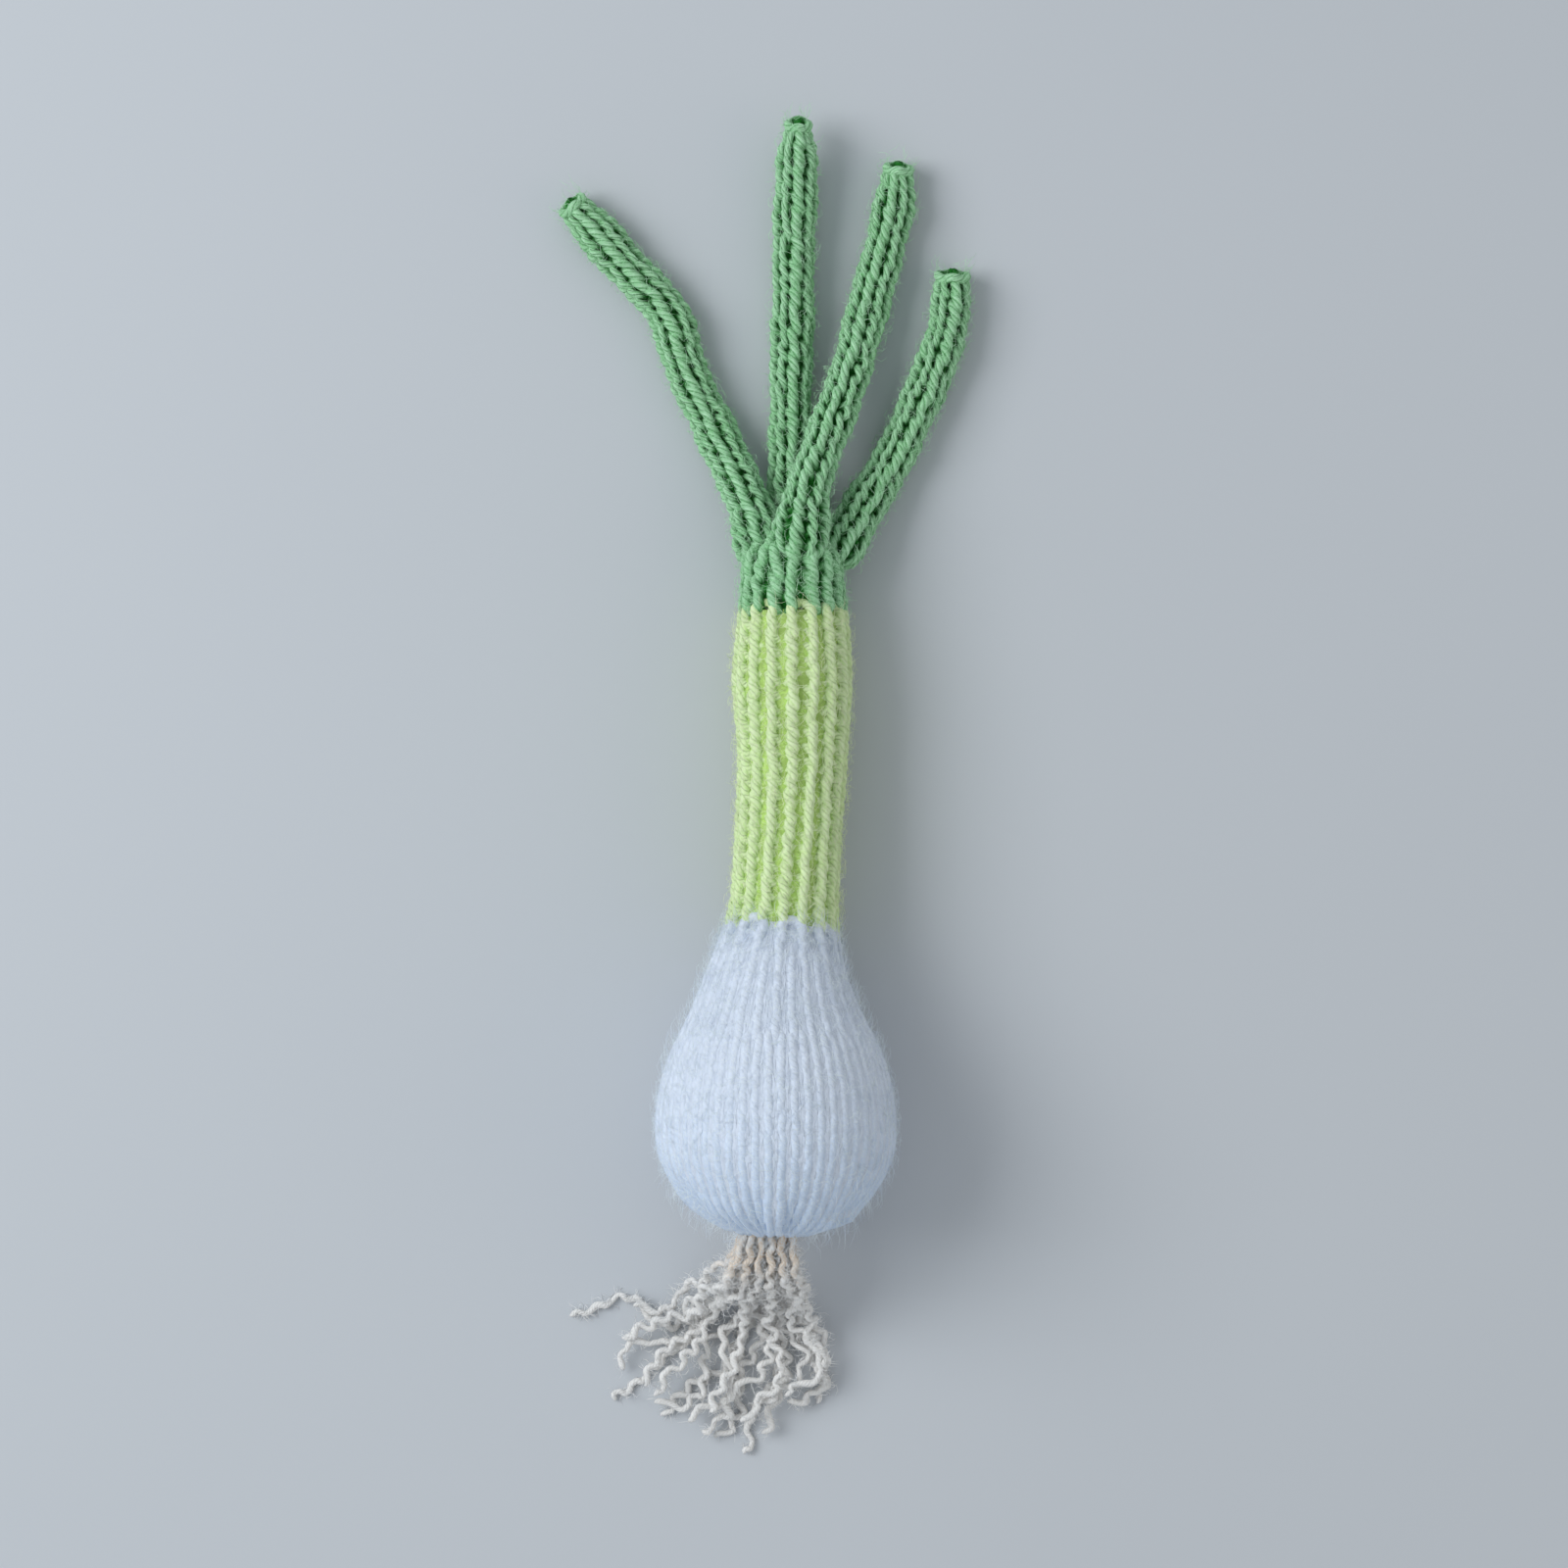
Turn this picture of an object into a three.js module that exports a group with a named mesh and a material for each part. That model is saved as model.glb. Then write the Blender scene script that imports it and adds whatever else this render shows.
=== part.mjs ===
// A knitted spring onion: a stuffed tube with a round bulb, four narrow knitted leaves sewn to its top,
// and a tuft of crimped yarn roots. It lies on a flat surface.
//
// Millimetres, +Z up. The surface is z = 0, +Y runs from the roots to the leaf tips, and the origin is in
// the middle of the flat that the bulb's weight presses into its underside.
import * as THREE from "three";

// Driving dimensions
const GAP = 0.3; // clearance between pieces that touch
const WALL = 2.4; // thickness of the knitted fabric
const LEAF_RADIUS = 4.3;
const ROOT_DIAMETER = 1.2;
const ROOT_STEP = 2.6 * ROOT_DIAMETER; // spacing of the rings along a root

// The stuffed tube's centre line, from the gathered base to the mouth that the leaves are sewn over.
const BODY_LINE = [
  [0, -20, 20.2],
  [0.3, 0, 21.6],
  [0.4, 24, 20.2],
  [2, 44, 17.2],
  [3.3, 66, 14.2],
  [3.4, 88, 12],
  [3.5, 109, 10.7],
];

// The stuffed tube's outer radius at a distance along its centre line.
const BODY_RADII = [
  [0, 8.6],
  [7, 17],
  [15, 22],
  [23, 22.7],
  [33, 20.6],
  [44, 15.6],
  [58, 11.1],
  [72, 10.3],
  [92, 10.6],
  [106, 11.5],
  [118, 10.7],
  [130, 9.8],
];
const BASE_HOLE_RADIUS = 6.9; // the gathered stitches close round the roots here
const LIME_START = 59.4; // where the yarn changes from white to lime
const GREEN_START = 119; // where the yarn changes from lime to dark green
const BODY_END = 128.6;

// Each leaf's centre line, from its sewn end to its tip.
const LEAF_LINES = {
  leaf_left: [
    [-2.6, 109.2, 10.6],
    [-5, 119, 8.9],
    [-12.1, 134.4, 4.4],
    [-16.2, 143, 4.3],
    [-20.3, 155, 4.3],
    [-28, 164, 4.3],
    [-40, 177.5, 4.6],
  ],
  leaf_back: [
    [4, 109.2, 4.6],
    [3, 126.3, 4.3],
    [3.5, 153, 4.4],
    [4.1, 177.3, 6.2],
    [4.7, 193, 9],
  ],
  leaf_front: [
    [4.8, 109.2, 16.4],
    [6, 119.6, 14.8],
    [10.6, 133, 10.4],
    [15.3, 146.3, 6.8],
    [18.8, 159.7, 4.8],
    [22.4, 173, 4.3],
    [24, 185, 4.8],
  ],
  leaf_right: [
    [12, 109.2, 9.8],
    [16.2, 116.6, 7],
    [22, 126.3, 4.6],
    [28.6, 139.8, 4.3],
    [33.2, 153, 4.3],
    [34.2, 164.5, 4.5],
  ],
};

// The root strands leave the base in four layers of six, and each layer fans out on the one below it.
const ROOT_COLUMN = 1.75; // spacing across a layer
const ROOT_LAYER = 1.6; // spacing from layer to layer
const ROOT_BUNCH = [-1.2, -18.4]; // middle of the bunch, just inside the base
const ROOT_BUNCH_HEIGHT = 17.8; // of the lowest layer
const ROOT_REST_HEIGHT = 0.8; // of the lowest layer's centre once it lies on the surface
const ROOT_LEVEL_RUN = 3; // how far the lowest layer runs out before it starts to fall
const ROOT_LAYER_DELAY = 0.95; // how much further each layer runs than the one below it
const ROOT_FALL_RUN = 17; // how far a strand runs while it falls to the surface

// Where each strand lies, seen from above, from left to right in each layer, lowest layer first.
const ROOT_PLANS = [
  [
    [[-7.4, -23.5], [-11.5, -30.5], [-19, -36], [-28, -37.5], [-38.4, -34]],
    [[-5.2, -24.5], [-8.2, -31.5], [-14, -40], [-23, -45.5], [-32, -51]],
    [[-2.9, -24.5], [-4.7, -32], [-9, -43], [-15.7, -50.5], [-20, -57]],
    [[-0.6, -24.5], [-1.2, -32], [-3.8, -43], [-8, -53], [-11.5, -60]],
    [[1.6, -24.5], [1.6, -32], [1, -44], [-1, -54], [-6, -63]],
    [[3.8, -24.5], [4.9, -31], [8.4, -38.5], [9.8, -46], [6.7, -52.5]],
  ],
  [
    [[-7.7, -23.5], [-11.8, -27.5], [-16.5, -30.2], [-21.5, -32.5], [-26.6, -35.4]],
    [[-5.3, -24], [-8.4, -30], [-14.4, -36.8], [-22, -42], [-27.8, -48]],
    [[-2.9, -24.5], [-5.2, -32.5], [-10.8, -43], [-16.5, -50], [-22.5, -54]],
    [[-0.6, -24.5], [-1.6, -34], [-4.6, -45], [-9.5, -53.5], [-14.5, -57.5]],
    [[1.6, -24.5], [1.7, -33.5], [1.4, -45], [0.4, -51.5], [-4, -58]],
    [[3.8, -24.5], [4.7, -32.5], [6.6, -41.5], [7, -48], [4, -54]],
  ],
  [
    [[-7.4, -24.3], [-10.9, -30], [-16.5, -35], [-22.5, -37], [-28.5, -41.5]],
    [[-5.2, -24.5], [-7.6, -32], [-13.6, -40.5], [-19.6, -45], [-25, -49.5]],
    [[-2.9, -24.5], [-4.4, -33.5], [-9.6, -45], [-13.8, -50], [-17, -56.5]],
    [[-0.6, -24.5], [-1.1, -35], [-2.9, -46], [-5.4, -51], [-8, -57]],
    [[1.6, -24.5], [2, -35], [3, -43], [1.9, -49.5], [-1.2, -54]],
    [[3.8, -24.5], [4.8, -31.5], [7.8, -38], [10, -43.5], [8.4, -49.5]],
  ],
  [
    [[-7, -24.3], [-9.6, -28.8], [-13.6, -32.5], [-18, -36.5], [-22.5, -39]],
    [[-4.9, -24.5], [-6.6, -32], [-11.4, -39.5], [-17.5, -46.5], [-22.5, -52]],
    [[-2.8, -24.5], [-3.7, -33.5], [-7.6, -44], [-10.5, -49], [-12.6, -54.5]],
    [[-0.6, -24.5], [-0.9, -35], [-1.6, -45], [-3.4, -51.5], [-3.4, -56.5]],
    [[1.6, -24.5], [2.2, -34.5], [4, -41], [4.9, -46.5], [2.2, -51.5]],
    [[3.7, -24], [4.6, -29.5], [6.6, -36.5], [9, -41], [10.2, -46]],
  ],
];

// How finely each solid is faceted
const BODY_SIDES = 24;
const LEAF_SIDES = 12;
const ROOT_SIDES = 8;
const ROOT_POINTS = 16; // along a root's mean line
const BULB_RINGS = 12;
const STEM_RINGS = 7;
const COLLAR_RINGS = 3;
const LEAF_RING_SPACING = 7;

const WHITE_YARN = { color: 0xeef1f8, roughness: 0.95, metalness: 0 };
const LIME_YARN = { color: 0xc6dc8e, roughness: 0.95, metalness: 0 };
const GREEN_YARN = { color: 0x6fa57c, roughness: 0.95, metalness: 0 };
const CREAM_YARN = { color: 0xd9cfbf, roughness: 0.95, metalness: 0 };
const FIBRE_FILLING = { color: 0xf2f2f0, roughness: 1, metalness: 0 };

const group = new THREE.Group();

function addPiece(name, geometry, finish) {
  const mesh = new THREE.Mesh(geometry, new THREE.MeshStandardMaterial(finish));
  mesh.name = name;
  group.add(mesh);
}

// A smooth curve through [x, y, z] points
function smoothLine(points) {
  const vectors = points.map((point) => new THREE.Vector3(...point));
  return new THREE.CatmullRomCurve3(vectors, false, "catmullrom", 0.5);
}

// Evenly spaced numbers from first to last
function spread(first, last, count) {
  return Array.from({ length: count }, (_, i) => THREE.MathUtils.lerp(first, last, i / (count - 1)));
}

const bodyLine = smoothLine(BODY_LINE);
const bodyRadii = new THREE.CubicInterpolant(
  BODY_RADII.map(([distance]) => distance),
  BODY_RADII.map(([, radius]) => radius),
  1,
);

function bodyRadius(distance) {
  return bodyRadii.evaluate(distance)[0];
}

// Turns a profile of { radius, distance, floor } about a straight axis, then lays that axis along the line.
// No point goes below its floor, which is how the soft piece flattens on the surface.
function turnAlong(line, profile, sides) {
  const outline = profile.map(({ radius, distance }) => new THREE.Vector2(radius, distance));
  const geometry = new THREE.LatheGeometry(outline, sides);
  const length = line.getLength();
  const up = new THREE.Vector3(0, 0, 1);
  const place = geometry.getAttribute("position");
  for (let i = 0; i < place.count; i += 1) {
    const share = THREE.MathUtils.clamp(place.getY(i) / length, 0, 1);
    const along = line.getTangentAt(share);
    const across = new THREE.Vector3().crossVectors(along, up).normalize();
    const over = new THREE.Vector3().crossVectors(across, along);
    const point = line.getPointAt(share);
    point.addScaledVector(across, place.getX(i));
    point.addScaledVector(over, place.getZ(i));
    const { floor } = profile[i % profile.length];
    place.setXYZ(i, point.x, point.y, Math.max(point.z, floor));
  }
  return geometry;
}

// A stretch of the stuffed tube's fabric, open at both ends. firstInner is its inner radius where it starts.
function bodyCover(from, to, rings, firstInner) {
  const distances = spread(from, to, rings);
  const outer = distances.map((distance) => ({ distance, radius: bodyRadius(distance), floor: 0 }));
  const inner = distances.map((distance, i) => {
    const radius = i === 0 ? firstInner : bodyRadius(distance) - WALL;
    return { distance, radius, floor: WALL };
  });
  const profile = [...outer, ...inner.reverse(), outer[0]];
  return turnAlong(bodyLine, profile, BODY_SIDES);
}

// The filling, with a flat end at the base and another in the mouth
function stuffing() {
  const first = 2.6;
  const last = BODY_END - 1.6;
  const floor = WALL + GAP;
  const distances = spread(first, last, BULB_RINGS + STEM_RINGS);
  const side = distances.map((distance) => {
    return { distance, radius: bodyRadius(distance) - WALL - 2 * GAP, floor };
  });
  const profile = [{ distance: first, radius: 0, floor }, ...side, { distance: last, radius: 0, floor }];
  return turnAlong(bodyLine, profile, BODY_SIDES);
}

// A leaf: an even tube, slightly narrowed where it is sewn on and rounded off at the tip
function leaf(line) {
  const length = line.getLength();
  const rings = Math.round(length / LEAF_RING_SPACING);
  const side = spread(1.4, length - 3, rings).map((distance) => ({ distance, radius: LEAF_RADIUS, floor: 0 }));
  const profile = [
    { distance: 0, radius: 0, floor: 0 },
    { distance: 0, radius: 0.75 * LEAF_RADIUS, floor: 0 },
    ...side,
    { distance: length - 0.8, radius: 0.7 * LEAF_RADIUS, floor: 0 },
    { distance: length, radius: 0.35 * LEAF_RADIUS, floor: 0 },
    { distance: length, radius: 0, floor: 0 },
  ];
  return turnAlong(line, profile, LEAF_SIDES);
}

// The height of a strand of a layer once it has run out this far from the bunch, seen from above
function rootHeight(layer, run) {
  const start = ROOT_LEVEL_RUN + layer * ROOT_LAYER_DELAY;
  const fallen = THREE.MathUtils.smoothstep(run, start, start + ROOT_FALL_RUN);
  return THREE.MathUtils.lerp(ROOT_BUNCH_HEIGHT, ROOT_REST_HEIGHT, fallen) + layer * ROOT_LAYER;
}

// A root strand's mean line, without the crimp of the yarn
function rootLine(layer, column, plan) {
  const [x, y] = ROOT_BUNCH;
  const start = [x + (column - 2.5) * ROOT_COLUMN, y];
  const onSurface = smoothLine([start, ...plan].map((point) => [...point, 0]));
  const length = onSurface.getLength();
  const points = onSurface.getSpacedPoints(ROOT_POINTS - 1).map((point, i) => {
    return [point.x, point.y, rootHeight(layer, (i / (ROOT_POINTS - 1)) * length)];
  });
  return smoothLine(points);
}

function root(line) {
  const section = new THREE.Shape();
  for (const turn of spread(0, 2 * Math.PI, ROOT_SIDES + 1).slice(0, ROOT_SIDES)) {
    const corner = [0.5 * ROOT_DIAMETER * Math.cos(turn), 0.5 * ROOT_DIAMETER * Math.sin(turn)];
    if (turn === 0) section.moveTo(...corner);
    else section.lineTo(...corner);
  }
  const steps = Math.ceil(line.getLength() / ROOT_STEP);
  return new THREE.ExtrudeGeometry(section, { steps, extrudePath: line, curveSegments: 1 });
}

addPiece("bulb_cover", bodyCover(0, LIME_START - GAP, BULB_RINGS, BASE_HOLE_RADIUS), WHITE_YARN);
const stemStart = bodyRadius(LIME_START) - WALL;
addPiece("stem_cover", bodyCover(LIME_START, GREEN_START - GAP, STEM_RINGS, stemStart), LIME_YARN);
const collarStart = bodyRadius(GREEN_START) - WALL;
addPiece("collar_cover", bodyCover(GREEN_START, BODY_END, COLLAR_RINGS, collarStart), GREEN_YARN);
addPiece("stuffing", stuffing(), FIBRE_FILLING);

for (const [name, points] of Object.entries(LEAF_LINES)) {
  addPiece(name, leaf(smoothLine(points)), GREEN_YARN);
}

ROOT_PLANS.forEach((plans, layer) => {
  plans.forEach((plan, column) => {
    addPiece(`root_${layer + 1}_${column + 1}`, root(rootLine(layer, column, plan)), CREAM_YARN);
  });
});

export default group;
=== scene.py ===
import math

import bmesh
import bpy
import numpy as np
from bpy.props import FloatProperty, FloatVectorProperty, IntProperty, PointerProperty
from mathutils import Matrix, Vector


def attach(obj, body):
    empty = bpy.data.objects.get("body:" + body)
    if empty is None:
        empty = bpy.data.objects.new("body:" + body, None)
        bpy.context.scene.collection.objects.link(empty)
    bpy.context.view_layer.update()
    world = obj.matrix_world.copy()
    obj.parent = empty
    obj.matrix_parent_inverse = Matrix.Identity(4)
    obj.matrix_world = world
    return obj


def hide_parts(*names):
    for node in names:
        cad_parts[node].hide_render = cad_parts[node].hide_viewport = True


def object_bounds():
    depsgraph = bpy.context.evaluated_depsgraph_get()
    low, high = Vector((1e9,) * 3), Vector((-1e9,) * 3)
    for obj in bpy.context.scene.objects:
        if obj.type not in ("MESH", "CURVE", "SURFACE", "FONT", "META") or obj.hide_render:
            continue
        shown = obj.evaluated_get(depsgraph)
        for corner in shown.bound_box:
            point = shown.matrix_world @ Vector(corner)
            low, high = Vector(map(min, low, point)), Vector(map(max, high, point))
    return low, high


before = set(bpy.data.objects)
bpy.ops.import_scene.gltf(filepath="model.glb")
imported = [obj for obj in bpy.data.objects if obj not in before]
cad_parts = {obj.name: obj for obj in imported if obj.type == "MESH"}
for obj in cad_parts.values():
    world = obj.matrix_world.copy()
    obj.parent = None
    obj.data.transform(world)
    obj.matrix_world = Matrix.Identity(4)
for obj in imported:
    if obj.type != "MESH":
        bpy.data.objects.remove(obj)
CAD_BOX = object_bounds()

bl_info = {
    "name": "Knitted Spring Onion",
    "version": (1, 0, 0),
    "blender": (4, 5, 0),
    "location": "3D View > Sidebar > Spring Onion",
    "description": "Builds a knitted spring onion with a stuffed bulb, four leaves and crimped yarn roots",
    "category": "Object",
}

# The CAD's own lines and sizes, in metres: the body's centre line, its radius by the distance along it,
# the leaves' centre lines, and where each root lies on the surface after it leaves the bunch, by layer
BODY_LINE = (
    (0.0, -0.02, 0.0202),
    (0.0003, 0.0, 0.0216),
    (0.0004, 0.024, 0.0202),
    (0.002, 0.044, 0.0172),
    (0.0033, 0.066, 0.0142),
    (0.0034, 0.088, 0.012),
    (0.0035, 0.109, 0.0107),
)
BODY_RADII = (
    (0.0, 0.0086),
    (0.007, 0.017),
    (0.015, 0.022),
    (0.023, 0.0227),
    (0.033, 0.0206),
    (0.044, 0.0156),
    (0.058, 0.0111),
    (0.072, 0.0103),
    (0.092, 0.0106),
    (0.106, 0.0115),
    (0.118, 0.0107),
    (0.13, 0.0098),
)
LEAF_LINES = {
    "leaf_left": (
        (-0.0026, 0.1092, 0.0106),
        (-0.005, 0.119, 0.0089),
        (-0.0121, 0.1344, 0.0044),
        (-0.0162, 0.143, 0.0043),
        (-0.0203, 0.155, 0.0043),
        (-0.028, 0.164, 0.0043),
        (-0.04, 0.1775, 0.0046),
    ),
    "leaf_back": (
        (0.004, 0.1092, 0.0046),
        (0.003, 0.1263, 0.0043),
        (0.0035, 0.153, 0.0044),
        (0.0041, 0.1773, 0.0062),
        (0.0047, 0.193, 0.009),
    ),
    "leaf_front": (
        (0.0048, 0.1092, 0.0164),
        (0.006, 0.1196, 0.0148),
        (0.0106, 0.133, 0.0104),
        (0.0153, 0.1463, 0.0068),
        (0.0188, 0.1597, 0.0048),
        (0.0224, 0.173, 0.0043),
        (0.024, 0.185, 0.0048),
    ),
    "leaf_right": (
        (0.012, 0.1092, 0.0098),
        (0.0162, 0.1166, 0.007),
        (0.022, 0.1263, 0.0046),
        (0.0286, 0.1398, 0.0043),
        (0.0332, 0.153, 0.0043),
        (0.0342, 0.1645, 0.0045),
    ),
}
ROOT_PLANS = (
    (
        ((-0.0074, -0.0235), (-0.0115, -0.0305), (-0.019, -0.036), (-0.028, -0.0375), (-0.0384, -0.034)),
        ((-0.0052, -0.0245), (-0.0082, -0.0315), (-0.014, -0.04), (-0.023, -0.0455), (-0.032, -0.051)),
        ((-0.0029, -0.0245), (-0.0047, -0.032), (-0.009, -0.043), (-0.0157, -0.0505), (-0.02, -0.057)),
        ((-0.0006, -0.0245), (-0.0012, -0.032), (-0.0038, -0.043), (-0.008, -0.053), (-0.0115, -0.06)),
        ((0.0016, -0.0245), (0.0016, -0.032), (0.001, -0.044), (-0.001, -0.054), (-0.006, -0.063)),
        ((0.0038, -0.0245), (0.0049, -0.031), (0.0084, -0.0385), (0.0098, -0.046), (0.0067, -0.0525)),
    ),
    (
        ((-0.0077, -0.0235), (-0.0118, -0.0275), (-0.0165, -0.0302), (-0.0215, -0.0325), (-0.0266, -0.0354)),
        ((-0.0053, -0.024), (-0.0084, -0.03), (-0.0144, -0.0368), (-0.022, -0.042), (-0.0278, -0.048)),
        ((-0.0029, -0.0245), (-0.0052, -0.0325), (-0.0108, -0.043), (-0.0165, -0.05), (-0.0225, -0.054)),
        ((-0.0006, -0.0245), (-0.0016, -0.034), (-0.0046, -0.045), (-0.0095, -0.0535), (-0.0145, -0.0575)),
        ((0.0016, -0.0245), (0.0017, -0.0335), (0.0014, -0.045), (0.0004, -0.0515), (-0.004, -0.058)),
        ((0.0038, -0.0245), (0.0047, -0.0325), (0.0066, -0.0415), (0.007, -0.048), (0.004, -0.054)),
    ),
    (
        ((-0.0074, -0.0243), (-0.0109, -0.03), (-0.0165, -0.035), (-0.0225, -0.037), (-0.0285, -0.0415)),
        ((-0.0052, -0.0245), (-0.0076, -0.032), (-0.0136, -0.0405), (-0.0196, -0.045), (-0.025, -0.0495)),
        ((-0.0029, -0.0245), (-0.0044, -0.0335), (-0.0096, -0.045), (-0.0138, -0.05), (-0.017, -0.0565)),
        ((-0.0006, -0.0245), (-0.0011, -0.035), (-0.0029, -0.046), (-0.0054, -0.051), (-0.008, -0.057)),
        ((0.0016, -0.0245), (0.002, -0.035), (0.003, -0.043), (0.0019, -0.0495), (-0.0012, -0.054)),
        ((0.0038, -0.0245), (0.0048, -0.0315), (0.0078, -0.038), (0.01, -0.0435), (0.0084, -0.0495)),
    ),
    (
        ((-0.007, -0.0243), (-0.0096, -0.0288), (-0.0136, -0.0325), (-0.018, -0.0365), (-0.0225, -0.039)),
        ((-0.0049, -0.0245), (-0.0066, -0.032), (-0.0114, -0.0395), (-0.0175, -0.0465), (-0.0225, -0.052)),
        ((-0.0028, -0.0245), (-0.0037, -0.0335), (-0.0076, -0.044), (-0.0105, -0.049), (-0.0126, -0.0545)),
        ((-0.0006, -0.0245), (-0.0009, -0.035), (-0.0016, -0.045), (-0.0034, -0.0515), (-0.0034, -0.0565)),
        ((0.0016, -0.0245), (0.0022, -0.0345), (0.004, -0.041), (0.0049, -0.0465), (0.0022, -0.0515)),
        ((0.0037, -0.024), (0.0046, -0.0295), (0.0066, -0.0365), (0.009, -0.041), (0.0102, -0.046)),
    ),
)
LIME_START = 0.0594
GREEN_START = 0.119
BODY_END = 0.1286
LEAF_RADIUS = 0.0043
ROOT_DIAMETER = 0.0012
ROOT_COLUMN = 0.00175
ROOT_LAYER = 0.0016
ROOT_BUNCH = (-0.0012, -0.0184)
ROOT_BUNCH_HEIGHT = 0.0178
ROOT_REST_HEIGHT = 0.0008
ROOT_LEVEL_RUN = 0.003
ROOT_LAYER_DELAY = 0.00095
ROOT_FALL_RUN = 0.017
ROOT_POINTS = 16

# What the knitting adds to them, in metres and radians
# Where along the body the bulb's rows start, get shorter and twice lose stitches
BULB_FIRST_ROW = 0.0052
BULB_ROWS_SHORTEN = 0.030
FIRST_DECREASE = 0.0375
SECOND_DECREASE = 0.0530
BULB_BASE = 0.008  # the rows below this are pulled thin
COLLAR_RISE = 0.0045  # how far the collar's rows run on past the body's end, round the leaves
COLOUR_DROP = 0.0013  # how far the feet of the first lime row reach down over the last white row

# How the body strays from its plain radius: its lumps, the folds and the pucker of its gathered base,
# and how its two ends are drawn in. Each run is where along the body that happens
LUMP_HEIGHT = 0.00018
FOLD_HEIGHT = 0.0009
FOLD_RUN = (0.0035, 0.013)
PUCKER_HEIGHT = 0.0032
PUCKER_PLACE = 0.0042
PUCKER_LENGTH = 0.0016
PUCKER_TURN = 1.0
PUCKER_WIDTH = 0.42
BASE_DRAW = 0.0045
BASE_RUN = (0.0004, 0.0020)
TOP_DRAW = 0.004
TOP_RUN = (0.1285, 0.1345)

# How wide each leaf's open end is, and where the smooth column of its legs lies round it, from the top
LEAF_TIPS = {"leaf_left": 0.0022, "leaf_back": 0.0018, "leaf_front": 0.0021, "leaf_right": 0.0026}
LEAF_TURNS = {"leaf_left": -0.1, "leaf_back": 0.15, "leaf_front": -0.25, "leaf_right": 0.3}
LEAF_LUMP_HEIGHT = 0.00032
TIP_STRAND = 0.0009  # radius of the ring of yarn round an open end
TIP_SLANT = 0.0006  # how far the open ends lean back, each way
TIP_GAP = 0.0022  # from the end of a leaf's line to its open end
LAST_ROW_GAP = 0.0020  # from its open end to the middle of its last row

# A yarn's painted shade in the grooves between its plies, and its painted deep shade deep in the fabric and
# under its strands, as shares of its own
LIME_SHADE = (0.86, 0.97, 0.66)
LIME_DEEP_SHADE = (0.72, 0.86, 0.40)
GREEN_SHADE = (0.24, 0.55, 0.25)
GREEN_DEEP_SHADE = (0.02, 0.22, 0.025)

# From the outer surface of the knitting to the fluff behind its loops, which in a leaf is a sheet painted in
# shade
BULB_FLUFF_DEPTH = 0.0003
STEM_FLUFF_DEPTH = 0.00155
COLLAR_FLUFF_DEPTH = 0.0020
LEAF_SHADE_SHEET_DEPTH = 0.0024
LINING_SPACING = 0.0018  # from one ring of the fluff to the next

# Stray fibres: how many there are, how thick, how many start on the surface and end free, and their curl
BULB_FIBRES = 9000
BODY_FIBRES_PER_METRE = 60000
LEAF_FIBRES = 1200
ROOT_FIBRES = 300
FIBRE_THICKNESS = 0.00007
FIBRE_STATIONS = 4
FIBRE_INSET = 0.0004
FREE_SHARE = 0.45
FIBRE_CURL = 0.14

# The camera's place over the toy and how wide a view it has of the surface
CAMERA_X = 0.00187
CAMERA_Y = 0.0653
CAMERA_HEIGHT = 1.2
VIEW_WIDTH = 0.3008

PLIES = 4
SPAN_SAMPLES = 48
YARN_MAP = "Yarn"
# The yarn's painted deep shade is laid where this height is low
HEIGHT_MAP = "Height"  # 0 deep in the fabric, 1 on its surface
BAKE_MAP = "OFBake"
LINING_SHARE = 0.14  # of the bake map's height
UP = np.array([0.0, 0.0, 1.0])
FULL_TURN = 2 * math.pi


def unit(vectors):
    """The same directions, each one long."""
    return vectors / np.linalg.norm(vectors, axis=-1, keepdims=True)


def ease(value, first, last):
    """0 before first, 1 after last and smooth between them."""
    share = np.clip((value - first) / (last - first), 0, 1)
    return share * share * (3 - 2 * share)


def smooth_samples(points):
    """Points along the same smooth curve that the CAD draws through its points."""
    points = np.asarray(points, float)
    held = np.vstack([2 * points[0] - points[1], points, 2 * points[-1] - points[-2]])
    s = np.arange(SPAN_SAMPLES)[:, None] / SPAN_SAMPLES
    spans = []
    for before, first, last, after in zip(held, held[1:], held[2:], held[3:]):
        leaving = (last - before) / 2
        arriving = (after - first) / 2
        span = first * (2 * s**3 - 3 * s**2 + 1) + leaving * (s**3 - 2 * s**2 + s)
        spans.append(span + last * (3 * s**2 - 2 * s**3) + arriving * (s**3 - s**2))
    return np.vstack([*spans, points[-1:]])


def lengths_along(points):
    """How far along a line each of its points is."""
    steps = np.linalg.norm(np.diff(points, axis=0), axis=1)
    return np.concatenate([[0.0], np.cumsum(steps)])


def evenly(points, count):
    """The line through the points as this many evenly spaced points."""
    along = lengths_along(points)
    wanted = np.linspace(0, along[-1], count)
    return np.stack([np.interp(wanted, along, points[:, k]) for k in range(3)], -1)


class CentreLine:
    """A smooth line measured along its length, with the directions round it at every distance."""

    def __init__(self, points):
        self.samples = smooth_samples(points)
        self.distances = lengths_along(self.samples)
        self.length = self.distances[-1]
        self.headings = unit(np.gradient(self.samples, self.distances, axis=0))

    def at(self, distance):
        """Centre, across and over at each distance. The line runs straight on past its ends."""
        held = np.clip(distance, 0, self.length)
        look_up = [np.interp(held, self.distances, self.samples[:, k]) for k in range(3)]
        centre = np.stack(look_up, -1)
        turned = [np.interp(held, self.distances, self.headings[:, k]) for k in range(3)]
        heading = unit(np.stack(turned, -1))
        centre += heading * (distance - held)[..., None]
        across = unit(np.cross(heading, UP))
        return centre, across, np.cross(across, heading)

    def lay(self, distance, turn, radius):
        """The points at this turn and radius round the line, and which way is outward there."""
        centre, across, over = self.at(distance)
        outward = across * np.sin(turn)[..., None] + over * np.cos(turn)[..., None]
        return centre + outward * radius[..., None], outward


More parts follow.
